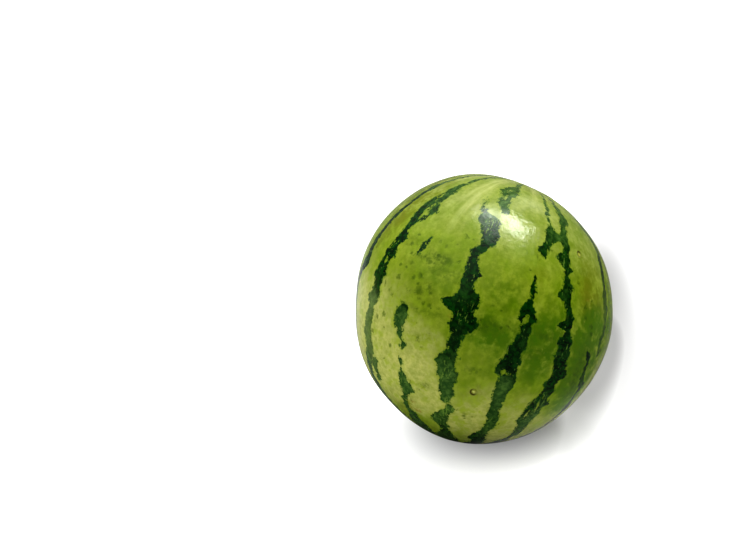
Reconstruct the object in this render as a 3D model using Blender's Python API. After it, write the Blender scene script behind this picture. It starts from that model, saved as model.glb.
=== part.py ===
"""A whole watermelon, as picked: a small round striped fruit that stands on its blossom end.

One closed solid in metres, +Z up, with its origin under the middle of the fruit on the surface
that it rests on. The fruit is a lopsided ellipsoid: its stem axis leans, and runs to one side of
the middle, so the stem scar and the blossom scar are both off the upright line.
"""
import math

import bmesh
import bpy
from mathutils import Vector

# The body, an ellipsoid with its long way nearly upright
LONG_HALF = 0.1107
CROSS_HALF = 0.1043
LONG_LEAN = math.radians(1.7)

# The stem axis, from the blossom end to the stem end, leans from the upright
STEM_LEAN = math.radians(14.4)
STEM_HEADING = math.radians(22.5)
AXIS_OFFSET = 0.0134

# The shoulder round the stem end is flatter than the ellipsoid
SHOULDER_DROP = 0.0042
SHOULDER_SPREAD = math.radians(33.5)

# Low broad hollows and swellings: azimuth and height in degrees from the middle, depth, spread
UNEVEN = (
    (186.0, 2.0, 0.0022, 17.0),
    (0.0, 40.0, 0.0010, 16.0),
    (345.0, -8.0, -0.0009, 13.0),
    (338.0, -42.0, 0.0008, 13.0),
    (204.0, -44.0, 0.0008, 10.0),
    (250.0, -66.0, -0.0008, 12.0),
    (150.0, 82.0, -0.0008, 14.0),
    (95.0, 12.0, 0.0012, 24.0),
    (135.0, -20.0, -0.0008, 22.0),
    (50.0, -25.0, -0.0009, 26.0),
)

# Shallow furrows run out from the stem scar and fade over the shoulder
FURROWS = 11
FURROW_DEPTH = 0.0005
FURROW_PEAK = math.radians(15.0)

# The stem scar: a dry corky disc in a shallow dimple
STEM_SCAR_RADIUS = 0.0052
STEM_SCAR_RIM = 0.0005
STEM_SCAR_PIT_RADIUS = 0.0020
STEM_SCAR_PIT = 0.0009
STEM_DIMPLE_DEPTH = 0.0026
STEM_DIMPLE_RADIUS = 0.0105

# The blossom scar: a small rough button in a faint dimple
BLOSSOM_SCAR_RADIUS = 0.0034
BLOSSOM_SCAR_RIM = 0.0004
BLOSSOM_DIMPLE_DEPTH = 0.0011
BLOSSOM_DIMPLE_RADIUS = 0.0080

# The small flat spot that it rests on
REST_FLAT_RADIUS = 0.016

# Rings of the mesh, as distances in metres from each scar's middle, then evenly spaced ones
STEM_RINGS = (0.0010, 0.0020, 0.0034, 0.0046, 0.0054, 0.0068, 0.0088, 0.0114, 0.0150)
BLOSSOM_RINGS = (0.0012, 0.0026, 0.0036, 0.0050, 0.0072, 0.0104, 0.0145)
EVEN_RINGS = 46
SEGMENTS = 72

RIND_COLOUR = (0.33, 0.41, 0.085, 1.0)
RIND_ROUGHNESS = 0.34


def smooth_step(low, high, value):
    """0 below low, 1 above high, and an eased ramp between them."""
    ramp = min(1.0, max(0.0, (value - low) / (high - low)))
    return ramp * ramp * (3.0 - 2.0 * ramp)


def stem_frame():
    """Unit vectors along the stem axis, to the front of the fruit and to its right."""
    stem = Vector((
        math.sin(STEM_LEAN) * math.cos(STEM_HEADING),
        math.sin(STEM_LEAN) * math.sin(STEM_HEADING),
        math.cos(STEM_LEAN),
    ))
    front = Vector((0.0, -1.0, 0.0))
    front = (front - stem * front.dot(stem)).normalized()
    return stem, front, stem.cross(front)


def ellipsoid_reach(start, heading):
    """Distance from start, inside the ellipsoid, to its surface along a unit heading."""
    long_way = Vector((math.sin(LONG_LEAN), 0.0, math.cos(LONG_LEAN)))
    across = Vector((math.cos(LONG_LEAN), 0.0, -math.sin(LONG_LEAN)))
    deep = Vector((0.0, 1.0, 0.0))
    scaled = [(way, half) for way, half in ((long_way, LONG_HALF), (across, CROSS_HALF), (deep, CROSS_HALF))]
    a = sum((heading.dot(way) / half) ** 2 for way, half in scaled)
    b = sum(heading.dot(way) * start.dot(way) / half ** 2 for way, half in scaled)
    c = sum((start.dot(way) / half) ** 2 for way, half in scaled) - 1.0
    return (math.sqrt(b * b - a * c) - b) / a


def stem_scar_drop(distance):
    """How far the skin lies below the plain body near the stem scar."""
    dimple = STEM_DIMPLE_DEPTH * math.exp(-(distance / STEM_DIMPLE_RADIUS) ** 2)
    rim = STEM_SCAR_RIM * (1.0 - smooth_step(STEM_SCAR_RADIUS - 0.0006, STEM_SCAR_RADIUS + 0.0003, distance))
    pit = STEM_SCAR_PIT * (1.0 - smooth_step(STEM_SCAR_PIT_RADIUS * 0.4, STEM_SCAR_PIT_RADIUS * 1.6, distance))
    return dimple - rim + pit


def blossom_scar_drop(distance):
    """How far the skin lies below the plain body near the blossom scar."""
    dimple = BLOSSOM_DIMPLE_DEPTH * math.exp(-(distance / BLOSSOM_DIMPLE_RADIUS) ** 2)
    edge = smooth_step(BLOSSOM_SCAR_RADIUS - 0.0008, BLOSSOM_SCAR_RADIUS + 0.0003, distance)
    return dimple - BLOSSOM_SCAR_RIM * (1.0 - edge)


def furrow_drop(polar, longitude):
    """Depth of the furrows of the shoulder, nought at the scar and far from it."""
    along = (polar / FURROW_PEAK) ** 2 * math.exp(1.0 - (polar / FURROW_PEAK) ** 2)
    return FURROW_DEPTH * along * 0.5 * (1.0 + math.cos(FURROWS * longitude))


def uneven_drop(point):
    """Depth of the broad hollows, less the swellings, at a point seen from the middle."""
    total = 0.0
    toward = point.normalized()
    for azimuth, height, depth, spread in UNEVEN:
        level = math.cos(math.radians(height))
        centre = Vector((
            level * math.cos(math.radians(azimuth)),
            level * math.sin(math.radians(azimuth)),
            math.sin(math.radians(height)),
        ))
        apart = centre.angle(toward) / math.radians(spread)
        total += depth * math.exp(-apart * apart)
    return total


def skin_point(polar, longitude):
    """A point of the rind, measured from the middle of the body."""
    stem, front, side = stem_frame()
    start = side * AXIS_OFFSET
    around = front * math.cos(longitude) + side * math.sin(longitude)
    heading = stem * math.cos(polar) + around * math.sin(polar)
    reach = ellipsoid_reach(start, heading)
    drop = SHOULDER_DROP * math.exp(-(polar / SHOULDER_SPREAD) ** 2)
    drop += stem_scar_drop(polar * LONG_HALF)
    drop += blossom_scar_drop((math.pi - polar) * LONG_HALF)
    drop += furrow_drop(polar, longitude)
    drop += uneven_drop(start + heading * reach)
    return start + heading * (reach - drop)


def ring_angles():
    """Polar angles of the mesh's rings, close together on the scars and even between them."""
    near_stem = [distance / LONG_HALF for distance in STEM_RINGS]
    near_blossom = [math.pi - distance / LONG_HALF for distance in reversed(BLOSSOM_RINGS)]
    first, last = near_stem[-1], near_blossom[0]
    step = (last - first) / (EVEN_RINGS + 1)
    return near_stem + [first + step * (ring + 1) for ring in range(EVEN_RINGS)] + near_blossom


def rest_on_flat(mesh):
    """Stand the body on z = 0, flatten what lies lower, and centre it over the origin."""
    sink = REST_FLAT_RADIUS ** 2 / (2.0 * CROSS_HALF)
    lowest = min(vert.co.z for vert in mesh.verts)
    for vert in mesh.verts:
        vert.co.z = max(0.0, vert.co.z - lowest - sink)
    for axis in (0, 1):
        places = [vert.co[axis] for vert in mesh.verts]
        middle = (min(places) + max(places)) / 2.0
        for vert in mesh.verts:
            vert.co[axis] -= middle


def rind_material():
    material = bpy.data.materials.new("rind")
    material.use_nodes = True
    shader = material.node_tree.nodes["Principled BSDF"]
    shader.inputs["Base Color"].default_value = RIND_COLOUR
    shader.inputs["Roughness"].default_value = RIND_ROUGHNESS
    shader.inputs["Metallic"].default_value = 0.0
    return material


def watermelon():
    """A ball of rings and segments, each vertex set on the skin by its ring and longitude."""
    rings = ring_angles()
    body = bmesh.new()
    bmesh.ops.create_uvsphere(body, u_segments=SEGMENTS, v_segments=len(rings) + 1, radius=1.0)
    for vert in body.verts:
        ring = round(math.acos(max(-1.0, min(1.0, vert.co.z))) / math.pi * (len(rings) + 1))
        polar = ([0.0] + rings + [math.pi])[ring]
        vert.co = skin_point(polar, math.atan2(vert.co.y, vert.co.x))
    rest_on_flat(body)
    bmesh.ops.triangulate(body, faces=body.faces)
    bmesh.ops.recalc_face_normals(body, faces=body.faces)
    mesh = bpy.data.meshes.new("watermelon")
    body.to_mesh(mesh)
    body.free()
    mesh.shade_smooth()
    mesh.materials.append(rind_material())
    fruit = bpy.data.objects.new("watermelon", mesh)
    bpy.context.scene.collection.objects.link(fruit)


for leftover in list(bpy.data.objects):
    bpy.data.objects.remove(leftover)
watermelon()
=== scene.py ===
import math
import random

import bmesh
import bpy
import numpy as np
from mathutils import Matrix, Vector, noise


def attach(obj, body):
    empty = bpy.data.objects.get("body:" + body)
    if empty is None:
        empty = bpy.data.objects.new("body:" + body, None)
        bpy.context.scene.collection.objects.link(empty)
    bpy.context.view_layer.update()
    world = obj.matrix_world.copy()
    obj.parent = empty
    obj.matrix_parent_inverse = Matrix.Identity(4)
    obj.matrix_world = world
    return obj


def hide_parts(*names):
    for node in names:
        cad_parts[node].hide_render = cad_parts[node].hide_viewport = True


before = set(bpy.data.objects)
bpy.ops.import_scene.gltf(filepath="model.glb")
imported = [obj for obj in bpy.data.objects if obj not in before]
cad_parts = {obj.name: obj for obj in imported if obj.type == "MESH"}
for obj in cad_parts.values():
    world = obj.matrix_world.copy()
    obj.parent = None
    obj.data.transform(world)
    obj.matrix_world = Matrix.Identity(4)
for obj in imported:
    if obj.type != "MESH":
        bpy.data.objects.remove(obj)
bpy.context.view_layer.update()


# The rind.
# The outside of the fruit is one hard skin that grew in one piece round the flesh, thin and waxy.
# It swells unevenly, so its gloss breaks up, and its stripes run from the stem to the blossom end.

# The stem axis, as the solid has it: where it crosses the middle, and which way it leans
axis_middle = Vector((0.0121, 0.0004, 0.1063))
stem_way = Vector((0.2298, 0.0952, 0.9686)).normalized()
front_way = Vector((0.0, -1.0, 0.0))
front_way = (front_way - stem_way * front_way.dot(stem_way)).normalized()
side_way = stem_way.cross(front_way)
growth_frame = Matrix((side_way, -front_way, stem_way)).transposed()

# An even net of small faces, drawn tight over a smoothed copy of the solid: faces along each side
# of the cube that it starts from, and the width of the ball, in metres, from which it is drawn in
net_faces = 60
net_start = 0.26


def only(piece):
    """Make one piece the only one that the next operator acts on."""
    bpy.ops.object.select_all(action="DESELECT")
    piece.select_set(True)
    bpy.context.view_layer.objects.active = piece


def finish_with(piece, kind, **settings):
    """Add a modifier with its settings and apply it."""
    modifier = piece.modifiers.new(kind.lower(), kind)
    for name, value in settings.items():
        setattr(modifier, name, value)
    only(piece)
    bpy.ops.object.modifier_apply(modifier=modifier.name)


only(bpy.data.objects["watermelon"])
bpy.ops.object.duplicate()
form = bpy.context.active_object
form.name = "rind_form"
bpy.ops.object.mode_set(mode="EDIT")
bpy.ops.mesh.select_all(action="SELECT")
bpy.ops.mesh.remove_doubles(threshold=0.00001)
bpy.ops.mesh.tris_convert_to_quads()
bpy.ops.object.mode_set(mode="OBJECT")
finish_with(form, "SUBSURF", levels=2, render_levels=2)

bpy.ops.object.select_all(action="DESELECT")
bpy.ops.mesh.primitive_cube_add(size=2.0)
rind = bpy.context.active_object
rind.name = "rind"
bpy.ops.object.mode_set(mode="EDIT")
bpy.ops.mesh.select_all(action="SELECT")
bpy.ops.mesh.subdivide(number_cuts=net_faces - 1)
bpy.ops.object.mode_set(mode="OBJECT")
for vert in rind.data.vertices:
    even = Vector([math.tan(place * math.pi / 4.0) for place in vert.co])
    vert.co = axis_middle + growth_frame @ even.normalized() * net_start / 2.0
finish_with(rind, "SHRINKWRAP", target=form, wrap_method="NEAREST_SURFACEPOINT")
finish_with(rind, "SUBSURF", levels=1, render_levels=1)
bpy.data.objects.remove(form)

# The blemishes: two small calluses, where the skin was scratched and healed. Each row is a polar
# angle and longitude in degrees, the radius across and along in millimetres, and the way to its
# brown side, in degrees from the right and turning down.
calluses = ((118.5, -4.2, 2.4, 2.8, 140.0), (50.9, 34.3, 2.4, 2.7, 215.0))
callus_reach = 5.5
callus_cuts = 3

# The two scars, as the solid has them: the rind's own radius near them, the radius of each, and
# the reach of the finer net, all in millimetres
scar_arc = 110.7
stem_scar_radius = 5.2
stem_scar_reach = 9.0
blossom_scar_radius = 3.4
blossom_scar_reach = 6.0
scar_cuts = 2


def skin_angles(points):
    """Polar angle from the stem and longitude from the front, in degrees, of points on the rind."""
    ways = points - np.array(axis_middle)
    ways /= np.linalg.norm(ways, axis=1)[:, None]
    polar = np.degrees(np.arccos(np.clip(ways @ np.array(stem_way), -1.0, 1.0)))
    longitude = np.degrees(np.arctan2(ways @ np.array(side_way), ways @ np.array(front_way)))
    return polar, longitude


def vertex_places(piece):
    """The place of each vertex, one row each."""
    places = np.empty(len(piece.data.vertices) * 3)
    piece.data.vertices.foreach_get("co", places)
    return places.reshape(-1, 3)


polar, longitude = skin_angles(vertex_places(rind))

# The fruit's mean radius, and the length along the rind of one degree, in millimetres
mean_radius = 107.0
degree_along = math.pi / 180.0 * mean_radius


def degree_across(at_polar):
    """Millimetres to one degree of longitude."""
    return degree_along * np.maximum(np.sin(np.radians(at_polar)), 0.02)


def turn(degrees):
    """Bring an angle between -180 and 180 degrees."""
    return (degrees + 180.0) % 360.0 - 180.0


def distance_from(spot_polar, spot_longitude):
    """Distance in millimetres across and along the rind from a spot on it."""
    across = turn(longitude - spot_longitude) * degree_across(polar)
    return across, (polar - spot_polar) * degree_along


def refine(piece, near, cuts):
    """Cut the faces finer whose corners all lie near."""
    only(piece)
    bpy.ops.object.mode_set(mode="EDIT")
    bpy.ops.mesh.select_mode(type="FACE")
    bpy.ops.mesh.select_all(action="DESELECT")
    skin = bmesh.from_edit_mesh(piece.data)
    for face in skin.faces:
        if all(near[vert.index] for vert in face.verts):
            face.select = True
    bmesh.update_edit_mesh(piece.data)
    bpy.ops.mesh.subdivide(number_cuts=cuts)
    bpy.ops.object.mode_set(mode="OBJECT")


near_callus = np.zeros(len(polar), dtype=bool)
for callus_polar, callus_longitude, *_ in calluses:
    across, along = distance_from(callus_polar, callus_longitude)
    near_callus |= np.hypot(across, along) < callus_reach
refine(rind, near_callus, callus_cuts)
polar, longitude = skin_angles(vertex_places(rind))
near_scar = np.radians(polar) * scar_arc < stem_scar_reach
near_scar |= np.radians(180.0 - polar) * scar_arc < blossom_scar_reach
refine(rind, near_scar, scar_cuts)
polar, longitude = skin_angles(vertex_places(rind))

# The stripes, as the fruit shows them from the front. Each row is a polar angle and the
# longitudes of the stripe's two edges there, in degrees.
middle_stripe_top = (
    (5, -21, -14), (10, -18.5, -14.5), (14, -17.2, -14.6), (18, -18, -14.2), (22.5, -19.4, -12.9),
    (25, -21.3, -12), (27.5, -23.3, -11.7), (30, -24.8, -10.3), (31.5, -23.2, -12),
    (33, -21.2, -12.5), (36, -20.4, -13), (39, -19.2, -13.3), (41, -17, -11.3), (42.7, -15.6, -10.3),
    (44, -14.2, -11.2),
)
middle_stripe_feather = (
    (38.8, -28, -27.2), (40.5, -27.2, -25.6), (42.5, -26.2, -25.2), (44.5, -25.4, -24.2),
    (46.5, -24.8, -23.2), (48, -24.4, -22.6),
)
middle_stripe = (
    (44.3, -23.6, -23), (46.5, -23.2, -20.5), (47.5, -23.3, -14.2), (49, -24.4, -13.3),
    (50.5, -23.7, -12.5), (52, -21.7, -12.4), (55, -19.5, -11.9), (57, -19.4, -10.9),
    (58.5, -17.4, -11.1), (60, -17.1, -12), (61.5, -18.1, -13.3), (63, -19.2, -15),
    (64.6, -20.6, -16), (65.5, -19.7, -16), (69, -19.8, -15.6), (71, -19.7, -14.6),
    (72.6, -19.4, -12.2), (74, -19.2, -14.3), (76, -19, -14.6), (79, -18.7, -13.3),
    (81.5, -19.8, -10), (82.7, -20.6, -10.3), (83.7, -23.4, -11), (85, -24.2, -11.5),
    (86.4, -23.6, -11.7), (87.5, -21.6, -11.3), (88.4, -19.2, -10.2), (90, -18.3, -9.2),
    (91.7, -18.5, -8.6), (93, -19.9, -9.8),
    (94.5, -19, -11.2), (96, -17.9, -12.9), (100, -18, -13.7), (102, -18.3, -14.2),
    (104, -19.2, -13.8), (106, -20.8, -14.2), (108.5, -22.3, -14.5), (110.5, -21.2, -13.3),
    (112, -20.7, -12.8), (113.8, -21.4, -12.5), (116, -19.4, -12.2), (118, -18.8, -13.3),
    (120, -19.3, -13.3), (122, -18.4, -12.4), (124, -19.1, -14.3), (125.5, -19.5, -14.6),
    (127, -16.3, -14.6), (128.5, -15.4, -13.3), (130, -15.6, -11.2), (131.5, -17.1, -12.5),
    (133, -20, -13.3), (136, -22.8, -14.2), (139, -25, -14.8), (141, -24.2, -15.2),
    (144, -21, -14.8), (147, -20.8, -14), (151, -24, -12), (156, -30, -8), (164, -32, -8),
    (176, -30, -8),
)
second_stripe = (
    (67, 8.4, 8.9), (69, 8.3, 9.2), (70.5, 7.9, 9.2), (72.5, 7.7, 10), (74, 7.9, 9.7),
    (75.5, 8.7, 9.3), (77, 7.3, 9.6), (78.5, 6, 9.8), (80, 5.6, 11), (81.5, 5.2, 11.3),
    (83.2, 5.6, 12.9), (84.5, 4.4, 11.8), (86, 7.4, 11.5), (88, 6.7, 11.3), (90, 7.3, 11.2),
    (92, 6.7, 11.3), (94, 5.4, 11.5), (95.5, 4.8, 11.7), (97.5, 4.7, 10.8), (99.5, 4.4, 10.4),
    (101, 3.8, 11), (102.5, 2.7, 11.6), (104.5, 2.1, 11), (107.5, 2.1, 11.2), (109, 4, 12.2),
    (110.5, 5.2, 11.6), (112.5, 4, 11.5), (116, 4.4, 10.6), (120, 5, 10.4), (124, 4.6, 10.2),
    (126, 5, 10.4), (128, 5.4, 11.3), (129.6, 4.8, 12.3), (132, 6.5, 13.1), (134, 6.9, 13.1),
    (136, 6.5, 13.3), (138, 6.5, 13.8), (139.6, 6, 11.8), (141, 5.4, 11.9), (143, 4.8, 12.3),
    (145, 3.8, 12.3), (147, 1.7, 12.5), (149, -0.4, 13.8), (151, 0, 15), (153, 3.5, 16.7),
    (156, 4, 17.5), (164, -1, 18), (176, -1, 18),
)
right_stripe = (
    (5, 27, 34), (12, 28.5, 31.5), (19, 28.3, 31.7), (22, 27, 30.8), (25, 25.8, 30),
    (28, 25.2, 31), (31, 24.9, 31.6), (34, 24.2, 32.4), (35.5, 23.8, 32.8), (37, 23.4, 30),
    (38.5, 24, 27.9), (40, 23.8, 27.9), (42, 22.7, 26.9), (44, 21.3, 26), (45.5, 21.4, 26.2),
    (47, 21.8, 26.7), (49, 22.5, 27.3), (51, 22.7, 27.1), (52.6, 22.3, 25.8),
    (53.6, 19.4, 25.8), (54.8, 18, 26.5), (56.2, 18.4, 26), (57.6, 20.8, 25.8), (58.6, 21.8, 26.2),
    (59.4, 22.1, 28.3), (61, 22.5, 25.8),
    (63, 22.5, 25.6), (65, 22.7, 26.7), (66.5, 22.9, 29.1), (68, 22.8, 28.5), (70, 21.9, 28.1),
    (71.5, 20.6, 27.9), (73, 22.7, 27.8), (75, 24.2, 27.7), (76.5, 25.8, 28.5), (78, 25.8, 29.8),
    (79.5, 26.3, 30.9), (81, 26, 30.8), (82.7, 23.5, 30.2), (84, 23.3, 30), (85, 27, 30.6),
    (87, 26.7, 31), (88.5, 25.4, 32), (90, 25.1, 32.7), (92, 26, 32.9), (95, 26, 33.3),
    (96.6, 24.9, 33.1), (98, 25.6, 33.3), (100, 26.7, 33.8), (102, 27.3, 34.4),
    (103.5, 27.9, 35.8), (105.5, 28.2, 36.5), (107.5, 27, 32.9), (110, 25.5, 32.3),
    (112, 27, 34.2), (114, 26.9, 33.6), (117, 25.8, 32.9), (118.5, 24.6, 34.2), (120, 23.2, 35.3),
    (122, 24, 33.3), (126, 23.7, 34), (131.5, 23.5, 33.3), (133, 25.4, 33.3), (135, 27.5, 33.8),
    (139, 27.5, 34.6), (141, 29.2, 35.8), (143, 30.6, 35.8), (147, 30.9, 35), (150, 29, 36),
    (155, 26, 39), (164, 22, 42), (176, 22, 42),
)
right_stripe_arm = (
    (12, 18, 20), (16, 16.5, 18), (21, 15.2, 17.5), (24, 14, 15.8), (27, 13.2, 15.3),
    (30, 14, 15.6), (33, 13.3, 15.2), (36, 12.7, 14.6), (38, 13.3, 14.8), (40, 13.3, 15.6),
    (42, 13.1, 16), (43.6, 12.2, 17), (44.6, 11.9, 20.6), (45.6, 11.9, 23), (46.9, 11.9, 23),
    (47.9, 11.8, 19.4), (49.2, 11.7, 17.8), (50.2, 11.5, 15.2), (51.2, 11, 14.8),
    (52.4, 9.8, 13.8), (54, 8.6, 13.6), (55.5, 8.4, 13.4), (56.8, 9.6, 13), (57.6, 10.6, 12.4),
)
left_stripe = (
    (5, -53, -46), (12, -49.5, -46), (20, -50, -47), (28, -50.4, -47.5), (31, -50.8, -47.9),
    (34, -50.3, -47.5), (37, -50.8, -46.8), (40, -51.6, -47), (42, -52.2, -46.6),
    (44, -53, -47), (47, -53.4, -47.4), (48.5, -54.2, -47.6), (50, -54.8, -47),
    (51.5, -55.8, -45.6), (53.5, -55.8, -44.6), (55, -55.8, -45.4), (57, -55.4, -46.7),
    (59, -55, -47.6), (61.5, -54.4, -50.2), (63, -54.4, -50.8), (65, -54, -51.3),
    (66.5, -55, -49.6), (68, -55.4, -49.3), (69.3, -55.2, -50.6), (71, -55.2, -51.5),
    (73, -55.8, -51.3), (75, -57, -51), (76.3, -56.9, -51), (77.7, -56.7, -52.5),
    (79.5, -57.1, -52.7), (81.5, -57.9, -52.5), (83, -58.4, -51.9), (84.5, -59.4, -52.1),
    (86, -58.3, -52.9), (88, -57.5, -53.1), (90, -57.9, -52.9), (92, -59.2, -52.7),
    (94, -60.4, -52.9), (96, -58.1, -54.6), (98, -58.3, -54.6), (100, -59.6, -55),
    (104, -60.4, -55.6), (108, -61.9, -55.3), (111, -60.8, -55.5), (114, -61.3, -55),
    (116, -62.9, -56.6), (118, -64.2, -57.5), (120, -64.8, -60), (124, -65.8, -61.7),
    (127, -67.5, -62.5), (131, -68, -60.5), (136, -69, -60), (142, -69, -57), (150, -70, -54),
    (164, -72, -50), (176, -72, -50),
)
left_stripe_spur = (
    (116.8, -56.8, -53), (118, -57.6, -52.4), (119.5, -58.4, -54.5), (122, -58.5, -55.5),
    (124.5, -57.6, -54.8), (126.5, -59, -55), (128, -59.5, -57),
)
outer_left_stripe = (
    (5, -72, -62), (16, -66, -63), (32, -66, -63), (36, -66.8, -64), (39, -68.2, -64.4),
    (42, -68.4, -64), (46, -68.6, -64.4), (48, -68, -65.6), (54, -68, -65.8),
    (58, -68.8, -66.4), (62, -70, -67.2), (66, -70.4, -67.8), (70, -71.6, -68.6),
    (74, -72.6, -68.3), (79, -72.3, -68.3), (82, -74, -67.1), (83.5, -74.6, -67.9),
    (85.5, -76, -71.5), (90, -78, -74), (98, -79.5, -74.5), (108, -80.5, -75), (120, -82.5, -76.5),
    (134, -85, -78), (146, -86, -79), (160, -92, -78), (176, -94, -76),
)
inner_left_dash = (
    (64.8, -39.2, -38.5), (66, -39.7, -38.3), (67.7, -40.4, -38.5), (69.5, -40.2, -38.9),
    (71, -41, -39.8), (72.2, -40.9, -40.4),
)
inner_left_blotch = (
    (91, -40.2, -38), (92, -40.7, -37.3), (93.5, -41.2, -36.8), (95, -41.7, -36.3),
    (97, -42.5, -36.9), (98.5, -42.5, -37.5), (100, -41.3, -37.9), (102, -40.3, -37.9),
    (103.6, -39.5, -38.1), (104.8, -38.4, -36.6), (106, -37.9, -35.4), (107.3, -37.6, -36.1),
    (108.5, -38, -37.3),
)
inner_left_stripe = (
    (112, -38.8, -37.6), (113.3, -38.6, -37.4), (115.5, -38.2, -37.1), (117, -39, -37.5),
    (118.5, -39.7, -36.4), (120, -40, -35.2), (122, -39.8, -34.6), (124, -39.6, -33.3),
    (126, -39.8, -32.3), (127.5, -40, -34.6), (129, -40.6, -36.3), (131, -41.7, -38.3),
    (133, -41.5, -39.4), (136, -41.6, -39.4), (138, -42.2, -38.4), (139.5, -42.7, -36.8),
    (142, -43.4, -35.8), (146, -46, -34), (150, -48, -32), (164, -50, -32), (176, -50, -32),
)
outer_right_stripe = (
    (5, 58, 68), (14, 62, 67), (22, 61, 71), (26, 58.5, 71.5), (29, 56.5, 69), (32, 54.5, 67.5),
    (35, 56, 66.5), (38, 58, 67), (41, 59.5, 67.5), (44, 60.2, 66.5), (47, 58.5, 64.5),
    (50, 56.8, 61.5), (53, 55.8, 60), (56, 54.7, 59.3), (60, 54.8, 58), (63, 54.5, 57.6),
    (66, 53.4, 58.3), (68.5, 53.3, 59), (70.5, 54.2, 58.6), (72, 54.3, 60.4), (74, 55, 60),
    (76, 55, 58.3), (80, 55.6, 57.9), (84, 55.3, 57.9), (86, 54.2, 57.6), (88, 54.1, 56.8),
    (90, 54.4, 56.7), (92, 55, 57.1), (95, 56, 57),
)
outer_right_stripe_foot = (
    (92.5, 44.8, 46), (94, 45, 48.3), (96, 46.5, 49), (98.5, 47.7, 49.7), (100.5, 47.5, 50),
    (103, 48, 50.9), (105.5, 48.6, 51.6), (107.5, 49.4, 54), (109, 50.2, 55.8), (111, 51.7, 56),
    (113, 52.5, 55.4), (116, 52.5, 55.4), (119, 53.3, 56), (122, 53.8, 58.3), (125, 54.2, 59.2),
    (128, 54.2, 58.3), (132, 54.6, 57.8), (138, 53.5, 57.5), (144, 51.5, 57), (150, 49, 58),
    (164, 46, 62), (176, 46, 62),
)
front_stripes = (
    middle_stripe_top, middle_stripe_feather, middle_stripe, second_stripe, right_stripe,
    right_stripe_arm, left_stripe, left_stripe_spur, outer_left_stripe, inner_left_dash,
    inner_left_blotch, inner_left_stripe, outer_right_stripe, outer_right_stripe_foot,
)

# Windows of pale skin inside those stripes: polar angle, longitude, half height, half width
windows = (
    (29.3, -17.8, 2.0, 0.9), (33.3, -17.3, 1.8, 0.7), (84.2, 8.4, 1.6, 1.2), (106.9, 5.7, 1.3, 1.8),
    (120.8, 29.2, 2.8, 0.45), (126.2, 26.4, 2.2, 0.6), (45.8, -50.9, 1.8, 0.7),
    (51.6, -49.2, 0.9, 0.7), (56.2, -49.8, 2.8, 1.8), (71.6, -54.0, 1.2, 0.6),
    (78.6, -54.6, 1.2, 0.6), (54.2, 15.6, 1.6, 1.3),
)

# Round the rest of the fruit, stripes of the same kind: longitude, half width in millimetres at
# the middle, and the polar angle where it starts. A late one begins as broken dashes.
far_stripes = (
    (81.0, 3.9, 8.0), (103.0, 2.4, 58.0), (126.0, 5.0, 8.0), (150.0, 2.8, 74.0), (174.0, 4.6, 8.0),
    (197.0, 2.6, 52.0), (220.0, 5.2, 8.0), (243.0, 2.9, 66.0), (262.0, 4.1, 8.0),
)
# How they grow: the share of a lobe that goes on into the next row, how far a lobe may shrink or
# swell in a row, as shares of the half width, and the degrees from row to row up to the last
lobe_kept = 0.35
lobe_swing = (-0.55, 0.75)
row_steps = (1.6, 3.4)
last_row = 177.0


def grown_stripe(middle, half_width, start, luck):
    """Rows of a stripe that wanders, swells and pinches as it runs to the blossom end."""
    rows = []
    sway, sway_more = luck.uniform(0.0, 6.3), luck.uniform(0.0, 6.3)
    lobe_left = lobe_right = 0.0
    at = start
    while at < last_row:
        drift = 1.6 * math.sin(at / 19.0 + sway) + 0.9 * math.sin(at / 7.3 + sway_more)
        lobe_left = lobe_kept * lobe_left + luck.uniform(*lobe_swing)
        lobe_right = lobe_kept * lobe_right + luck.uniform(*lobe_swing)
        across = degree_along * max(math.sin(math.radians(at)), 0.42)
        ease = min(1.0, (at - start + 6.0) / 38.0)
        spread = 1.0 + 1.3 * max(0.0, (at - 138.0) / 36.0)
        reach = half_width * ease * spread / across
        left = middle + drift - reach * (1.0 + lobe_left)
        right = middle + drift + reach * (1.0 + lobe_right)
        rows.append((at, left, right))
        at += luck.uniform(*row_steps)
    return tuple(rows)


def stripe_depth(rows):
    """Depth in millimetres of each vertex inside a stripe's outline, negative outside it."""
    angles, left, right = np.array(rows).T
    from_left = turn(longitude - np.interp(polar, angles, left))
    from_right = turn(np.interp(polar, angles, right) - longitude)
    sideways = np.minimum(from_left, from_right) * degree_across(polar)
    endways = np.minimum(polar - angles[0], angles[-1] - polar) * degree_along
    return np.minimum(sideways, endways)


luck = random.Random(41)
far_from_stripe = 12.0
depth = np.full(len(polar), -far_from_stripe)
for rows in front_stripes:
    depth = np.maximum(depth, stripe_depth(rows))
for window_polar, window_longitude, half_height, half_width in windows:
    across, along = distance_from(window_polar, window_longitude)
    high, wide = half_height * degree_along, half_width * degree_across(window_polar)
    outside = (np.hypot(across / wide, along / high) - 1.0) * min(high, wide)
    depth = np.minimum(depth, outside)
for middle, half_width, start in far_stripes:
    depth = np.maximum(depth, stripe_depth(grown_stripe(middle, half_width, start, luck)))
depth = np.clip(depth, -far_from_stripe, far_from_stripe)

# Every patch of colour has an uneven outline: how far it sways, in millimetres, and the size of
# the waves, in metres
sway_reach = 5.0
sway_size = 0.012
sway_across, sway_along = sway_reach * np.array([
    (noise.noise_vector(place / sway_size) + 0.5 * noise.noise_vector(place / sway_size * 2.9))[:2]
    for place in map(Vector, vertex_places(rind))
]).T


def patches(spots, sway=1.0):
    """Sum of uneven patches: polar angle, longitude, half height, half width, strength."""
    total = np.zeros(len(polar))
    for spot_polar, spot_longitude, half_height, half_width, strength in spots:
        across, along = distance_from(spot_polar, spot_longitude)
        high = half_height * degree_along
        wide = half_width * degree_along * math.sin(math.radians(spot_polar))
        across, along = across + sway * sway_across, along + sway * sway_along
        reach = (across / wide) ** 2 + (along / high) ** 2
        total += strength * np.exp(-reach ** 1.5)
    return total


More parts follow.
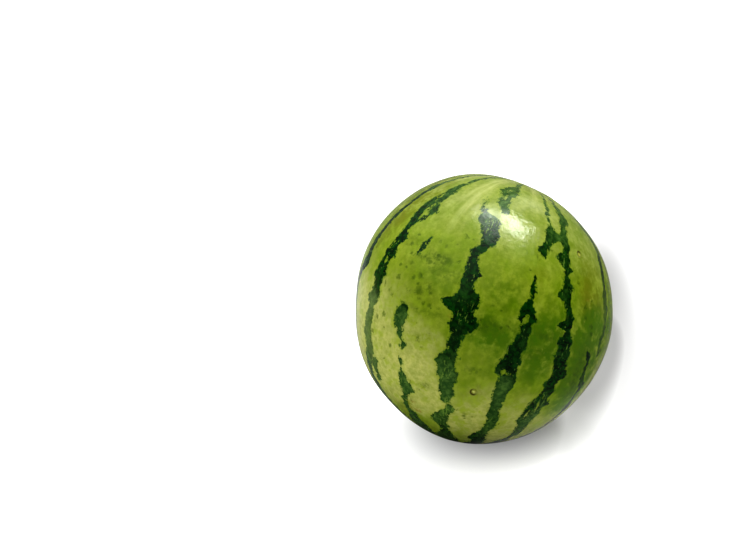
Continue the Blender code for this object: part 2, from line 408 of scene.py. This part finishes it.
# Where the skin is creamier: towards the ground spot, which is at the back left, and low down.
# Low down and on the left this is partly painted light: bounce from the floor and light from the left.
cream_skin_and_painted_bounce = patches((
    (110, -118, 30, 34, 1.0), (112, -64, 22, 16, 0.9), (110, -40, 13, 13, 0.75),
    (122, -50, 15, 14, 0.8), (96, -54, 12, 8, 0.35), (132, -40, 8, 9, 0.5), (88, -48, 12, 9, 0.3),
    (92, -36, 9, 8, 0.2), (99, -30, 7, 8, 0.35),
    (126, -28, 14, 16, 0.9), (107, -24, 8, 8, 0.45), (138, 0, 16, 18, 0.85), (123, 2, 9, 9, 0.6),
    (140, 28, 16, 14, 0.8), (124, 20, 9, 8, 0.5), (130, 54, 14, 14, 0.7), (88, -66, 10, 8, 0.4),
    (152, 28, 10, 20, 0.8), (150, 120, 16, 60, 0.5), (36, 150, 16, 30, 0.2),
))
# Where it is a deeper green. Across the middle band and on the right flank, which face away from
# the light, this is partly painted shade.
deep_skin_and_painted_shade = patches((
    (98, 43, 22, 12, 1.0), (93, 18, 12, 12, 0.8), (85, 2, 12, 12, 0.3), (92, -5, 6, 9, 0.6),
    (76, 24, 14, 10, 0.4), (89, 19, 4, 7, 0.4), (84, 46, 11, 9, 0.8), (87, 37, 7, 6, 0.5),
    (113, 50, 15, 11, 0.9), (106, 20, 9, 8, 0.3), (106, 5, 6, 8, 0.3), (72, -4, 10, 10, 0.35),
    (53, 30, 12, 10, 0.2), (30, 44, 14, 22, 0.25), (48, -74, 26, 8, 0.35), (78, -27, 9, 9, 0.35),
    (96, -6, 5, 8, 0.4), (100, 4, 5, 6, 0.3), (70, 62, 14, 8, 0.4), (88, 62, 16, 8, 0.5),
    (90, 96, 26, 12, 0.5), (80, 140, 24, 12, 0.6), (108, 164, 16, 14, 0.4), (76, -156, 20, 12, 0.5),
    (60, -112, 14, 14, 0.4), (60, 118, 10, 10, 0.3), (130, -166, 10, 12, 0.4),
))
# Where it is browner
olive_skin = patches((
    (58, 38, 12, 10, 0.4), (74, 40, 12, 8, 0.6), (60, -66, 16, 10, 0.7), (84, -32, 8, 10, 0.25),
    (137, -42, 6, 9, 0.6), (14, 0, 10, 60, 0.3), (72, -46, 10, 8, 0.25),
    (97, 14, 4, 7, 0.4), (92, 34, 5, 6, 0.4), (120, -2, 5, 6, 0.3), (66, 12, 6, 6, 0.3),
    (40, -72, 16, 14, 0.6), (48, -58, 10, 6, 0.3), (70, 52, 16, 8, 0.4), (152, -40, 8, 20, 0.6),
    (70, 170, 18, 16, 0.5), (98, -104, 12, 14, 0.5), (56, -130, 12, 12, 0.4),
))
# Where it is smudged, in short bands across the fruit
smudged_skin = patches((
    (72, -33, 2.4, 10, 1.0), (76, -26, 1.8, 8, 0.6), (91, -28, 1.8, 8, 0.5), (90, -5, 2.6, 7, 0.9),
    (89, 19, 3.0, 5, 0.8), (108, -5, 0.8, 7, 0.7), (120, -26, 2.2, 4, 0.6), (101, -31, 1.6, 5, 0.4),
    (58, 36, 1.6, 5, 0.5), (78, 41, 3.5, 4, 0.4), (96, 17, 2.0, 6, 0.5), (67, -44, 1.6, 6, 0.35),
    (83, -4, 1.5, 6, 0.4), (102, 43, 2.5, 4, 0.6), (131, -6, 1.5, 4, 0.5), (137, -42, 2.5, 5, 0.7),
    (80, 104, 2.0, 8, 0.5), (94, 136, 2.2, 9, 0.5), (72, 166, 2.0, 8, 0.5), (88, -162, 2.0, 8, 0.5),
    (64, -132, 2.0, 8, 0.4), (120, 150, 2.0, 8, 0.5), (50, -20, 1.5, 5, 0.3), (74, -2, 1.4, 8, 0.35),
    (98, 44, 9, 7, 0.8), (112, 45, 8, 6, 0.9), (88, 8, 3, 5, 0.5), (84, 22, 1.6, 5, 0.4),
))
# Where the stripes are flecked with pale skin
flecked_stripe = patches((
    (87, -15, 6, 5, 0.8), (97, -16, 4, 4, 0.6), (112, -17, 4, 4, 1.0), (126, -16, 3, 3, 0.5),
    (72, -16, 4, 4, 0.4), (32, -17, 4, 6, 0.6), (52, -50, 6, 4, 0.7), (74, -54, 8, 4, 0.5),
    (94, -56, 14, 4, 0.6), (70, 25, 14, 4, 0.5), (88, 29, 8, 4, 0.4), (98, 30, 8, 4, 0.5),
    (122, 29, 12, 5, 0.8), (88, 8, 5, 4, 0.4), (106, 7, 5, 5, 0.5), (136, 10, 12, 5, 0.7),
    (140, -18, 8, 6, 0.7), (54, 18, 8, 9, 0.7), (52, -17, 5, 5, 0.9), (130, -14, 8, 6, 0.8),
    (120, -37, 8, 5, 0.5), (98, -39, 6, 5, 0.4),
))
# Where small dark freckles are scattered
freckled_skin = patches((
    (76, -42, 11, 9, 0.75), (84, -40, 8, 8, 0.8), (91, -31, 6, 7, 0.9), (79, -62, 9, 6, 0.7),
    (66, -28, 5, 6, 0.6), (102, -49, 8, 6, 0.7), (104, -27, 6, 5, 0.6), (131, -6, 4, 5, 0.9),
    (79, 42, 10, 7, 0.9), (90, 0, 7, 12, 0.6), (60, 36, 6, 8, 0.7), (121, -28, 6, 7, 0.7),
    (57, 12, 4, 5, 0.5), (94, 60, 8, 6, 0.8), (128, -36, 6, 6, 0.6), (65, 10, 4, 5, 0.7),
    (92, 112, 20, 8, 0.8), (74, 162, 16, 8, 0.8), (100, -170, 14, 8, 0.7), (70, -128, 14, 8, 0.6),
))


def ease(low, high, values):
    """An eased ramp from nought to one as the values run from low to high."""
    ramp = np.clip((values - low) / (high - low), 0.0, 1.0)
    return ramp * ramp * (3.0 - 2.0 * ramp)


# Towards the stem the skin is paler, with long pale streaks, and so are the stripes. The two
# streaks low on the right rim are painted sheen, and low on the front the stripes are paler as
# painted bounce light.
pale_skin = ease(70.0, 40.0, polar + 0.4 * sway_along)
pale_streaks_and_rim_sheen = patches((
    (38, -33, 20, 2.6, 0.55), (31, -38, 15, 1.8, 0.4), (42, -28, 13, 1.6, 0.25),
    (26, -60, 12, 3.0, 0.4), (22, 4, 12, 4.0, 0.4), (24, 60, 14, 3.0, 0.3),
    (112, 64, 20, 4, 0.5), (122, 60, 14, 3, 0.4),
), sway=0.15)
# Low on the front left the stripes are paler, as painted bounce light from the floor
pale_from = 99.0 - 13.0 * ease(-22.0, -38.0, longitude)
low_painted_bounce = 0.95 * ease(0.0, 13.0, polar - pale_from) * ease(6.0, -8.0, longitude)
low_painted_bounce *= ease(-175.0, -165.0, longitude) * (1.0 - 0.4 * ease(130.0, 146.0, polar))
pale_stripe_and_painted_bounce = np.maximum(ease(64.0, 30.0, polar), low_painted_bounce)
pale_stripe_and_painted_bounce = np.maximum(pale_stripe_and_painted_bounce, patches((
    (138, 30, 16, 12, 1.0), (132, 8, 18, 9, 0.8), (60, 24, 16, 9, 0.35), (113, 8, 8, 6, 0.4),
)))
# The stripes washed paler: near the stem and on the left and right rims this is painted reflection of
# the bright room in the wax, and at the back left it is the ground spot
sheen_and_ground_spot_wash = 0.25 * ease(40.0, 4.0, polar)
sheen_and_ground_spot_wash = np.maximum(sheen_and_ground_spot_wash, patches((
    (106, -58, 18, 6, 0.3), (106, -118, 26, 26, 0.7), (82, 57, 24, 6, 0.5), (108, 52, 14, 5, 0.25),
)))

# A few rust-brown rub marks
rust = patches((
    (90.4, -19.8, 0.9, 0.7, 0.9), (132, -34.6, 1.0, 1.4, 0.7), (136.6, -32.8, 1.5, 1.8, 0.8),
    (70.5, 39, 0.6, 1.5, 0.6), (111, 118, 1.0, 0.9, 0.7), (84, -146, 0.8, 1.3, 0.6),
), sway=0.25)

# How far each vertex is from the nearest callus, in that callus's radii, and on which side of it
far_from_callus = 9.0
callus = np.full(len(polar), far_from_callus)
callus_side = np.zeros(len(polar))
for callus_polar, callus_longitude, half_across, half_along, brown_way in calluses:
    across, along = distance_from(callus_polar, callus_longitude)
    here = np.hypot(across / half_across, along / half_along)
    way = np.arctan2(along / half_along, across / half_across) - math.radians(brown_way)
    callus_side = np.where(here < callus, np.cos(way), callus_side)
    callus = np.minimum(callus, here)


def give(piece, name, values):
    """Store one number for each vertex, for the material to read."""
    layer = piece.data.attributes.new(name, "FLOAT", "POINT")
    layer.data.foreach_set("value", np.asarray(values, dtype=np.float32))


give(rind, "stripe_depth", depth)
give(rind, "cream_skin_and_painted_bounce", np.clip(cream_skin_and_painted_bounce, 0.0, 1.0))
give(rind, "deep_skin_and_painted_shade", np.clip(deep_skin_and_painted_shade, 0.0, 1.0))
give(rind, "olive_skin", np.clip(olive_skin, 0.0, 1.0))
give(rind, "smudged_skin", np.clip(smudged_skin, 0.0, 1.0))
give(rind, "pale_skin", pale_skin)
give(rind, "pale_streaks_and_rim_sheen", np.clip(pale_streaks_and_rim_sheen, 0.0, 1.0))
give(rind, "pale_stripe_and_painted_bounce", pale_stripe_and_painted_bounce)
give(rind, "stem_scar", np.radians(polar) * scar_arc)
give(rind, "blossom_scar", np.radians(180.0 - polar) * scar_arc)
give(rind, "flecked_stripe", np.clip(flecked_stripe, 0.0, 1.0))
give(rind, "freckled_skin", np.clip(freckled_skin, 0.0, 1.0))
give(rind, "sheen_and_ground_spot_wash", np.clip(sheen_and_ground_spot_wash, 0.0, 1.0))
give(rind, "rust", rust)
give(rind, "callus", callus)
give(rind, "callus_side", callus_side)
give(rind, "vein_cos", np.cos(np.radians(longitude)))
give(rind, "vein_sin", np.sin(np.radians(longitude)))
give(rind, "vein_polar", np.radians(polar))

# The skin swells in low broad lumps, and each callus is a pinched pit with a raised lip: how far
# from its middle each is and how broad, in the callus's radii. Sizes and heights are in metres.
lump_size = 0.013
lump_height = 0.00010
broad_lump_size = 0.034
broad_lump_height = 0.00016
callus_pit = 0.00040
pit_from, pit_width = 0.7, 0.3
callus_lip = 0.00018
lip_from, lip_width = 1.3, 0.35

# The stem scar's cork keeps the ends of the veins, as a ring of knobs: how many, how far from its
# middle and how broad in millimetres, and how high in metres
stem_knobs = 10
knob_ring = 3.4
knob_width = 0.8
knob_height = 0.00025

normals = np.empty(len(rind.data.vertices) * 3)
rind.data.vertices.foreach_get("normal", normals)
normals = normals.reshape(-1, 3)
places = vertex_places(rind)
lift = np.array([
    noise.noise(Vector(place) / lump_size) * lump_height
    + noise.noise(Vector(place) / broad_lump_size) * broad_lump_height
    for place in places
])
lift -= callus_pit * np.exp(-((callus - pit_from) / pit_width) ** 2) * (0.6 + 0.4 * callus_side)
lift += callus_lip * np.exp(-((callus - lip_from) / lip_width) ** 2)
scar_distance = np.radians(polar) * scar_arc
knobs = np.exp(-((scar_distance - knob_ring) / knob_width) ** 2)
lift += knob_height * knobs * np.cos(stem_knobs * np.radians(longitude))
places += normals * lift[:, None]
places[:, 2] = np.maximum(places[:, 2], 0.0)
rind.data.vertices.foreach_set("co", places.ravel())
only(rind)
bpy.ops.object.shade_smooth()


def colour(red, green, blue):
    """A colour of the sheet of 0 to 255 shades, made linear for the shader."""
    shades = [shade / 255.0 for shade in (red, green, blue)]
    return tuple(((s + 0.055) / 1.055) ** 2.4 if s > 0.04 else s / 12.92 for s in shades) + (1.0,)


def add(tree, kind, feeds, **settings):
    """Add a shader node with its settings, and set or link each of its inputs."""
    node = tree.nodes.new("ShaderNode" + kind)
    for name, value in settings.items():
        setattr(node, name, value)
    for key, value in feeds.items():
        if isinstance(value, bpy.types.NodeSocket):
            tree.links.new(value, node.inputs[key])
        else:
            node.inputs[key].default_value = value
    return node


def grain(tree, place, size, detail=2.0, roughness=0.5, distortion=0.0):
    """Noise between 0 and 1 with lumps of about a size in metres."""
    feeds = {"Vector": place, "Scale": 1.0 / size, "Detail": detail, "Roughness": roughness,
             "Distortion": distortion}
    return add(tree, "TexNoise", feeds).outputs["Fac"]


def between(tree, value, low, high, to_low=0.0, to_high=1.0):
    """An eased ramp from one number to another as a value runs from low to high."""
    feeds = {"Value": value, "From Min": low, "From Max": high, "To Min": to_low, "To Max": to_high}
    return add(tree, "MapRange", feeds, interpolation_type="SMOOTHSTEP").outputs["Result"]


def sums(tree, operation, first, second):
    """One step of arithmetic on two values."""
    return add(tree, "Math", {0: first, 1: second}, operation=operation).outputs["Value"]


def mix(tree, share, first, second):
    """Blend two colours."""
    feeds = {0: share, 6: first, 7: second}
    return add(tree, "Mix", feeds, data_type="RGBA").outputs[2]


def attribute(tree, name):
    """A number that the mesh stores for each vertex."""
    return add(tree, "Attribute", {}, attribute_name=name, attribute_type="GEOMETRY").outputs["Fac"]


rind_finish = bpy.data.materials.new("rind")
rind_finish.use_nodes = True
tree = rind_finish.node_tree
shader = tree.nodes["Principled BSDF"]
place = add(tree, "TexCoord", {}).outputs["Object"]

# A place that is drawn out from stem to blossom end, as the veins are, for streaks and slits
vein_place = add(tree, "CombineXYZ", {
    "X": attribute(tree, "vein_cos"), "Y": attribute(tree, "vein_sin"),
    "Z": sums(tree, "MULTIPLY", attribute(tree, "vein_polar"), 0.22),
}).outputs["Vector"]

# The pale skin: yellow-green, mottled at several sizes, and paler towards the stem
mottle = between(tree, grain(tree, place, 0.020, 4.0, 0.6), 0.34, 0.66)
blotch = between(tree, grain(tree, place, 0.0090, 3.0, 0.65), 0.36, 0.64)
fine_mottle = between(tree, grain(tree, place, 0.0040, 3.0, 0.65), 0.3, 0.7)
streak_mottle = between(tree, grain(tree, vein_place, 0.045, 3.0, 0.6), 0.3, 0.7)
skin_colour = mix(tree, mottle, colour(153, 170, 56), colour(132, 157, 24))
upper_colour = mix(tree, mottle, colour(162, 172, 100), colour(144, 160, 76))
skin_colour = mix(tree, attribute(tree, "pale_skin"), skin_colour, upper_colour)
uneven = sums(tree, "MULTIPLY", sums(tree, "SUBTRACT", mottle, 0.5), 0.5)
cloudy = sums(tree, "MULTIPLY", sums(tree, "SUBTRACT", blotch, 0.5), 0.9)
cloudy = sums(tree, "ADD", cloudy, sums(tree, "ADD", sums(tree, "MULTIPLY", fine_mottle, 0.3), -0.15))
cloudy = sums(tree, "ADD", cloudy, uneven)


def patch(name):
    """A patch of colour, stronger and weaker with the mottling, and nought where there is none."""
    amount = attribute(tree, name)
    amount = sums(tree, "ADD", amount, sums(tree, "MULTIPLY", cloudy, amount))
    return between(tree, amount, 0.02, 1.0)


streaked = sums(tree, "MULTIPLY", streak_mottle, 0.16)
skin_colour = mix(tree, streaked, skin_colour, colour(180, 188, 92))
# Creamier skin, partly painted light low down and on the left
skin_colour = mix(tree, patch("cream_skin_and_painted_bounce"), skin_colour, colour(203, 204, 124))
skin_colour = mix(tree, patch("olive_skin"), skin_colour, colour(130, 134, 32))
# Deeper green, partly painted shade on the middle band and the right flank
skin_colour = mix(tree, patch("deep_skin_and_painted_shade"), skin_colour, colour(84, 126, 0))
mottled = sums(tree, "MULTIPLY", fine_mottle, 0.40)
skin_colour = mix(tree, mottled, skin_colour, colour(106, 130, 12))
blotched = sums(tree, "MULTIPLY", blotch, 0.26)
skin_colour = mix(tree, blotched, skin_colour, colour(100, 122, 6))
# Pale streaks; the two low on the right rim are painted sheen
streaks = sums(tree, "MULTIPLY", attribute(tree, "pale_streaks_and_rim_sheen"),
               between(tree, streak_mottle, 0.0, 1.0, 0.5, 0.95))
skin_colour = mix(tree, streaks, skin_colour, colour(208, 210, 142))
rusty = sums(tree, "MULTIPLY", attribute(tree, "rust"), between(tree, fine_mottle, 0.0, 1.0, 0.2, 0.8))
skin_colour = mix(tree, rusty, skin_colour, colour(132, 98, 24))

# Smudges: dappled bands of dull green. Freckles: soft round dark green spots, in clusters.
dapple = between(tree, grain(tree, place, 0.0030, 2.0, 0.6), 0.42, 0.62, 0.25, 1.0)
smudge = sums(tree, "MULTIPLY", attribute(tree, "smudged_skin"), dapple)
skin_colour = mix(tree, sums(tree, "MULTIPLY", smudge, 0.8), skin_colour, colour(76, 102, 4))

# A place that is shaken by about a millimetre, so that spots and teeth have uneven outlines
shake = add(tree, "TexNoise", {"Vector": place, "Scale": 420.0, "Detail": 2.0}).outputs["Color"]
shake = add(tree, "VectorMath", {0: shake, 3: 0.0022}, operation="SCALE").outputs["Vector"]
shaken_place = add(tree, "VectorMath", {0: place, 1: shake}, operation="ADD").outputs["Vector"]


def spots(cell, radius, share):
    """Soft uneven spots in some of a net's cells: cell size, radius, and the share with a spot."""
    net = add(tree, "TexVoronoi", {"Vector": shaken_place, "Scale": 1.0 / cell})
    pick = add(tree, "SeparateColor", {"Color": net.outputs["Color"]}).outputs
    enough = sums(tree, "MULTIPLY", attribute(tree, "freckled_skin"), share)
    chosen = sums(tree, "LESS_THAN", pick["Red"], enough)
    wide = between(tree, pick["Green"], 0.0, 1.0, radius / cell, radius / cell * 0.45)
    near = sums(tree, "SUBTRACT", 1.0, sums(tree, "DIVIDE", net.outputs["Distance"], wide))
    ragged = sums(tree, "SUBTRACT", grain(tree, place, 0.0015, 2.0, 0.6), 0.5)
    near = sums(tree, "ADD", near, sums(tree, "MULTIPLY", ragged, 1.2))
    return sums(tree, "MULTIPLY", chosen, between(tree, near, 0.0, 0.8))


freckle = sums(tree, "MAXIMUM", spots(0.0050, 0.0027, 0.50), spots(0.0090, 0.0050, 0.60))
skin_colour = mix(tree, sums(tree, "MULTIPLY", freckle, 0.7), skin_colour, colour(66, 92, 2))

# The stripes: their outlines frayed into lobes, streaks and small angular teeth, with pale
# flecks and long slits in the green
tooth = add(tree, "SeparateColor", {
    "Color": add(tree, "TexVoronoi", {"Vector": shaken_place, "Scale": 560.0}).outputs["Color"],
}).outputs
frayed = attribute(tree, "stripe_depth")
for wave, reach in (
    (grain(tree, place, 0.0052, 2.0, 0.6), 6.0),
    (grain(tree, place, 0.0018, 2.0, 0.6), 2.8),
    (grain(tree, vein_place, 0.020, 2.0, 0.6), 4.0),
    (tooth["Red"], 1.3),
):
    wave = sums(tree, "SUBTRACT", wave, 0.5)
    frayed = sums(tree, "ADD", frayed, sums(tree, "MULTIPLY", wave, reach))
in_stripe = between(tree, frayed, -0.5, 0.4)
near_stripe = between(tree, frayed, -1.9, 0.3)
fringe = sums(tree, "MULTIPLY", between(tree, frayed, -3.2, -1.4), between(tree, frayed, -0.9, -1.4))
fleck_place = add(tree, "VectorMath", {0: vein_place, 1: (1.0, 1.0, 3.6)}, operation="MULTIPLY")
fleck = grain(tree, fleck_place.outputs["Vector"], 0.0180, 2.0, 0.6)
slit = grain(tree, vein_place, 0.0180, 2.0, 0.55)
broken = between(tree, grain(tree, place, 0.016, 1.0, 0.5), 0.42, 0.68, 0.0, 0.5)
broken = sums(tree, "MAXIMUM", broken, attribute(tree, "flecked_stripe"))
fleck = sums(tree, "MAXIMUM", fleck, slit)
fleck = sums(tree, "SUBTRACT", fleck, between(tree, broken, 0.0, 1.0, 0.70, 0.54))
fleck = between(tree, fleck, 0.0, 0.10)
stripe_tone = between(tree, grain(tree, place, 0.0036, 3.0, 0.65), 0.36, 0.70)
# Stripes paler towards the stem, and low on the front as painted bounce light
stripe_pale_and_painted_bounce = between(tree, sums(tree, "ADD", attribute(tree, "pale_stripe_and_painted_bounce"), uneven), 0.0, 1.0)
stripe_pale_and_painted_bounce = sums(tree, "MULTIPLY", stripe_pale_and_painted_bounce, between(tree, frayed, 0.2, 1.9, 0.55, 1.0))
stripe_colour = mix(tree, stripe_tone, colour(0, 38, 1), colour(18, 76, 10))
upper_stripe = mix(tree, stripe_tone, colour(50, 86, 34), colour(88, 120, 54))
stripe_colour = mix(tree, stripe_pale_and_painted_bounce, stripe_colour, upper_stripe)
stripe_colour = mix(tree, sums(tree, "MULTIPLY", fleck, 0.75), stripe_colour, colour(118, 148, 64))
# The stripe colour is kept less where the painted reflection and the ground spot wash it out
keep = sums(tree, "SUBTRACT", 1.0, attribute(tree, "sheen_and_ground_spot_wash"))
rind_colour = mix(tree, sums(tree, "MULTIPLY", fringe, 0.14), skin_colour, colour(186, 192, 76))
rind_colour = mix(tree, sums(tree, "MULTIPLY", near_stripe, 0.4), rind_colour, colour(72, 112, 8))
rind_colour = mix(tree, sums(tree, "MULTIPLY", in_stripe, keep), rind_colour, stripe_colour)

# The scars: dry brown cork, darker in the middle, with a rough edge
cork_edge = sums(tree, "SUBTRACT", grain(tree, place, 0.0016, 2.0, 0.6), 0.5)
cork_edge = sums(tree, "MULTIPLY", cork_edge, 3.0)
stem_cork = sums(tree, "ADD", attribute(tree, "stem_scar"), cork_edge)
blossom_cork = sums(tree, "ADD", attribute(tree, "blossom_scar"), cork_edge)
cork = sums(tree, "MAXIMUM",
            between(tree, stem_cork, stem_scar_radius + 0.5, stem_scar_radius - 0.3),
            between(tree, blossom_cork, blossom_scar_radius + 0.4, blossom_scar_radius - 0.3))
pit = between(tree, stem_cork, 3.0, 1.0)
cork_tone = between(tree, grain(tree, place, 0.0011, 3.0, 0.6), 0.35, 0.65)
cork_colour = mix(tree, cork_tone, colour(122, 92, 54), colour(176, 150, 104))
cork_colour = mix(tree, pit, cork_colour, colour(74, 52, 30))
rind_colour = mix(tree, cork, rind_colour, cork_colour)

# The calluses: a dry middle in a brown ring, which is darker and broader on one side
callus_place = attribute(tree, "callus")
brown_side = between(tree, attribute(tree, "callus_side"), -0.9, 0.6, 0.25, 1.0)
callus_rim = sums(tree, "MULTIPLY", brown_side, sums(
    tree, "MULTIPLY", between(tree, callus_place, 0.4, 0.85), between(tree, callus_place, 1.3, 1.0)))
callus_middle = between(tree, callus_place, 0.8, 0.25)
middle_colour = mix(tree, cork_tone, colour(150, 142, 54), colour(206, 212, 122))
rind_colour = mix(tree, callus_middle, rind_colour, middle_colour)
rind_colour = mix(tree, callus_rim, rind_colour, colour(84, 80, 0))
tree.links.new(rind_colour, shader.inputs["Base Color"])

# Wax: an even soft gloss, a little broken by pores, and none on the cork
shine = between(tree, grain(tree, place, 0.0030, 3.0, 0.6), 0.3, 0.7, 0.16, 0.23)
dry = sums(tree, "MAXIMUM", cork, sums(tree, "MULTIPLY", callus_rim, 0.6))
dull = sums(tree, "ADD", shine, sums(tree, "MULTIPLY", dry, 0.5))
tree.links.new(dull, shader.inputs["Roughness"])
shader.inputs["IOR"].default_value = 1.34
pores = add(tree, "Bump", {
    "Strength": 0.12, "Distance": 0.0006, "Height": grain(tree, place, 0.0009, 3.0, 0.6),
}).outputs["Normal"]
ripple = add(tree, "Bump", {
    "Strength": 0.32, "Distance": 0.0008, "Height": grain(tree, place, 0.0045, 2.0, 0.5),
    "Normal": pores,
}).outputs["Normal"]
tree.links.new(ripple, shader.inputs["Normal"])
rind.data.materials.clear()
rind.data.materials.append(rind_finish)

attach(rind, "root")
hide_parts("watermelon")


# The setting.
# The fruit stands on a plain pale floor that runs on to the back, in a white studio: one soft
# light hangs above it, a little to the right, and a low soft panel stands to its left.
floor_half = 40.0

# The floor's shade as it lights the fruit, as it is seen, and as the wax mirrors it
bounce_shade = 0.8
seen_shade = 0.34
mirrored_shade = 0.14

# The glow of the floor where it is seen, which dims softly into a painted shadow of the fruit. Each
# row is a long soft patch of painted shadow: its middle, its turn and its half sizes, the share of
# it that is darkest, and the glow there.
broad_painted_shadow = ((0.055, 0.205, 0.0), -0.238, (0.134, 0.380, 1.0), 0.49, 0.14)
right_painted_shadow = ((0.130, 0.288, 0.0), -0.190, (0.062, 0.451, 1.0), 0.37, 0.036)
far_painted_shadow = ((0.193, 0.620, 0.0), -0.120, (0.105, 1.500, 1.0), 0.0, 0.15)
far_glow = 0.9

# A painted reflection: the floor glows where only the wax's mirrored rays see it, to the right,
# to the left, and under the rim at the front
right_sheen = 0.06
left_sheen = 0.46
rim_sheen = 0.24
rim_place = (0.068, 0.005, 0.0)

bpy.ops.object.select_all(action="DESELECT")
bpy.ops.mesh.primitive_plane_add(size=2.0 * floor_half, location=(0.0, 0.0, 0.0))
floor = bpy.context.active_object
floor.name = "floor"
floor_finish = bpy.data.materials.new("floor")
floor_finish.use_nodes = True
tree = floor_finish.node_tree
floor_shader = tree.nodes["Principled BSDF"]
floor_shader.inputs["Roughness"].default_value = 0.7
floor_shader.inputs["Emission Color"].default_value = (1.0, 1.0, 1.0, 1.0)
place = add(tree, "TexCoord", {}).outputs["Object"]
glow = far_glow
for middle, turned, half, core, near_glow in (broad_painted_shadow, right_painted_shadow, far_painted_shadow):
    in_painted_shadow = add(tree, "Mapping", {
        "Vector": place, "Location": middle, "Rotation": (0.0, 0.0, turned), "Scale": half,
    }, vector_type="TEXTURE").outputs["Vector"]
    away = add(tree, "VectorMath", {0: in_painted_shadow}, operation="LENGTH").outputs["Value"]
    glow = sums(tree, "MINIMUM", glow, between(tree, away, core, 1.0, near_glow, far_glow))
by_rim = add(tree, "VectorMath", {0: place, 1: rim_place}, operation="DISTANCE").outputs["Value"]
across = add(tree, "SeparateXYZ", {"Vector": place}).outputs
rays = add(tree, "LightPath", {}).outputs
shade = between(tree, rays["Is Glossy Ray"], 0.0, 1.0, seen_shade, mirrored_shade)
shade = sums(tree, "MAXIMUM", shade, sums(tree, "MULTIPLY", rays["Is Diffuse Ray"], bounce_shade))
tree.links.new(shade, floor_shader.inputs["Base Color"])
# Only the camera sees this glow, darkened in the painted shadows
seen = sums(tree, "MULTIPLY", rays["Is Camera Ray"], glow)
sheen = sums(tree, "MULTIPLY", between(tree, across["X"], 0.3, -0.3, right_sheen, left_sheen),
             between(tree, across["Y"], -0.05, 0.5))
sheen = sums(tree, "ADD", sheen, between(tree, by_rim, 0.10, 0.03, 0.0, rim_sheen))
# Only mirrored rays see this glow: a painted reflection in the wax
mirrored = sums(tree, "MULTIPLY", rays["Is Glossy Ray"], sheen)
tree.links.new(sums(tree, "ADD", seen, mirrored), floor_shader.inputs["Emission Strength"])
floor.data.materials.append(floor_finish)

# The ceiling and walls: a pale ceiling, walls paler behind than in front and a little warmer to
# the right, and white where seen
front_wall = 0.05
back_wall = 0.27
ceiling = 0.95
ceiling_middle = Vector((-0.25, -0.30, 0.92))
seen_wall = 1.05
plain_tint = (1.0, 1.0, 1.0, 1.0)
right_tint = (0.74, 0.73, 0.56, 1.0)
room = bpy.data.worlds.new("room")
room.use_nodes = True
tree = room.node_tree
way = add(tree, "TexCoord", {}).outputs["Generated"]
backwards = add(tree, "SeparateXYZ", {"Vector": way}).outputs["Y"]
upwards = add(tree, "VectorMath", {0: way, 1: ceiling_middle}, operation="DOT_PRODUCT").outputs["Value"]
wall = sums(tree, "ADD", between(tree, backwards, -0.1, 0.9, front_wall, back_wall),
            between(tree, upwards, 0.45, 0.98, 0.0, ceiling))
seen = add(tree, "LightPath", {}).outputs["Is Camera Ray"]
wall = add(tree, "Mix", {0: seen, 2: wall, 3: seen_wall}, data_type="FLOAT").outputs[0]
rightwards = add(tree, "SeparateXYZ", {"Vector": way}).outputs["X"]
tint = mix(tree, between(tree, rightwards, -0.1, 0.7), plain_tint, right_tint)
tint = mix(tree, seen, tint, plain_tint)
tree.links.new(tint, tree.nodes["Background"].inputs["Color"])
tree.links.new(wall, tree.nodes["Background"].inputs["Strength"])
bpy.context.scene.world = room


def soft_light(name, place, width, height, watts, aim=(0.0, 0.0, 0.11)):
    """A rectangular area light at a place, turned to a point."""
    lamp = bpy.data.lights.new(name, "AREA")
    lamp.shape = "RECTANGLE"
    lamp.size = width
    lamp.size_y = height
    lamp.energy = watts
    holder = bpy.data.objects.new(name, lamp)
    holder.location = place
    holder.rotation_euler = (Vector(aim) - Vector(place)).to_track_quat("-Z", "Y").to_euler()
    bpy.context.scene.collection.objects.link(holder)
    return holder


soft_light("overhead", (0.45, -0.10, 1.22), 0.28, 0.24, 6.5).visible_glossy = False
soft_light("overhead_left", (0.10, 0.10, 1.30), 0.32, 0.30, 2.6).visible_glossy = False
soft_light("left_panel", (-1.15, 0.10, 0.17), 1.5, 0.34, 4.8).visible_glossy = False

# What the wax mirrors: a bright window in the ceiling, dimmer ones beside it, and a pale haze
soft_light("window", (0.50, -0.15, 1.24), 0.32, 0.36, 8.4).visible_diffuse = False
soft_light("side_window", (0.21, -0.02, 1.33), 0.16, 0.50, 4.4).visible_diffuse = False
soft_light("low_window", (0.12, -0.30, 1.22), 0.24, 0.46, 1.7).visible_diffuse = False
soft_light("front_haze", (0.62, -0.55, 1.22), 0.45, 0.50, 1.4).visible_diffuse = False
soft_light("back_haze", (0.50, 0.60, 1.24), 0.40, 0.70, 1.2).visible_diffuse = False

# The camera stands 12 degrees above the fruit, which is right of the picture's middle
camera_distance = 0.665
camera_height_angle = math.radians(12.0)
fruit_middle = Vector((0.0, 0.0, 0.109))
lens_millimetres = 38.56
look_down = math.radians(9.78)
look_left = math.radians(7.69)

camera = bpy.data.cameras.new("camera")
camera.lens = lens_millimetres
camera.sensor_width = 36.0
camera_holder = bpy.data.objects.new("camera", camera)
camera_holder.location = fruit_middle + camera_distance * Vector((
    0.0, -math.cos(camera_height_angle), math.sin(camera_height_angle),
))
camera_holder.rotation_euler = (math.pi / 2.0 - look_down, 0.0, look_left)
bpy.context.scene.collection.objects.link(camera_holder)
bpy.context.scene.camera = camera_holder
bpy.context.scene.view_settings.view_transform = "Standard"
bpy.context.scene.view_settings.look = "High Contrast"
